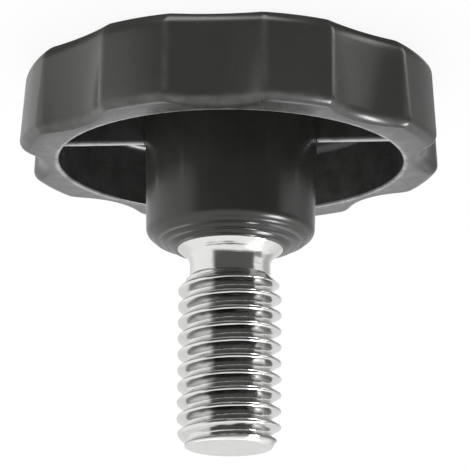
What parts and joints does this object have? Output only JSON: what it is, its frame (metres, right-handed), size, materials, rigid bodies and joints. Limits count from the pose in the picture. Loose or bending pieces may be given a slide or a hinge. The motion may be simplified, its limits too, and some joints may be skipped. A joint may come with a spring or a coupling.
{
  "type": "lobed knob with threaded stud",
  "caption": "Black moulded plastic clamping knob with rounded lobes and shallow flutes, a ribbed hollow underside, and a threaded steel stud held in its hub.",
  "frame": {"origin": "centre of the head's flat top, which the knob stands on, on the axis of the stud", "axes": "+Z along the stud, from the head to the tip; the middle of a flute is on -Y and the two ribs lie along X"},
  "size_m": [0.032, 0.032, 0.0297],
  "materials": {
    "black_plastic": "satin, as moulded",
    "bright_steel": "bright zinc plate over turned and rolled steel"
  },
  "bodies": {
    "root": {"knob_body": "black_plastic", "threaded_stud": "bright_steel"}
  },
  "joints": []
}
